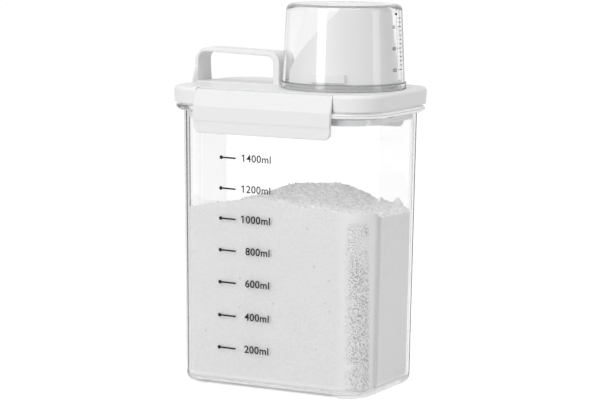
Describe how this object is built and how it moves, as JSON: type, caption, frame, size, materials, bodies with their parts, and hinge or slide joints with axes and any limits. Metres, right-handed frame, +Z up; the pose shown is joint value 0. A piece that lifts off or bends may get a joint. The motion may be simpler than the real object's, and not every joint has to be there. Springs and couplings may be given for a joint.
{
  "type": "detergent dispenser",
  "caption": "Tall clear box for washing powder with a latched white lid, arched handle, slanted pour spout and a clear measuring cup as its cap.",
  "frame": {"origin": "middle of the footprint, on the surface that the box stands on", "axes": "+Z up, +X along the long side from the handle towards the spout, +Y from the front latch to the back latch"},
  "size_m": [0.1452, 0.1052, 0.2402],
  "materials": {
    "clear_body": "clear, polished",
    "powder": "fine white granules",
    "white_lid": "satin white",
    "gasket": "milky silicone",
    "spout": "satin white",
    "seal": "grey silicone",
    "clear_cup": "clear, polished",
    "latch": "satin white"
  },
  "bodies": {
    "container": {"container": "clear_body", "detergent_powder": "powder"},
    "lid": {"lid": "white_lid", "lid_gasket": "gasket", "pour_spout": "spout", "neck_seal": "seal"},
    "measuring_cup": {"measuring_cup": "clear_cup"},
    "front_latch": {"front_latch": "latch"},
    "back_latch": {"back_latch": "latch"}
  },
  "joints": [
    {"name": "lid_lift", "type": "slide", "parent": "container", "child": "lid", "axis": [0, 0, 1], "range_m": [0, 0.018]},
    {"name": "cup_lift", "type": "slide", "parent": "lid", "child": "measuring_cup", "axis": [0, 0, 1], "range_m": [0, 0.06]},
    {"name": "front_latch_swing", "type": "hinge", "parent": "lid", "child": "front_latch", "pos_m": [0, -0.04644, 0.184], "axis": [-1, 0, 0], "range_deg": [0, 110]},
    {"name": "back_latch_swing", "type": "hinge", "parent": "lid", "child": "back_latch", "pos_m": [0, 0.04644, 0.184], "axis": [1, 0, 0], "range_deg": [0, 110]}
  ],
  "couplings": [
    {"joint": "front_latch_swing", "follows": "lid_lift", "rad_per_m": 106.65},
    {"joint": "back_latch_swing", "follows": "lid_lift", "rad_per_m": 106.65}
  ]
}
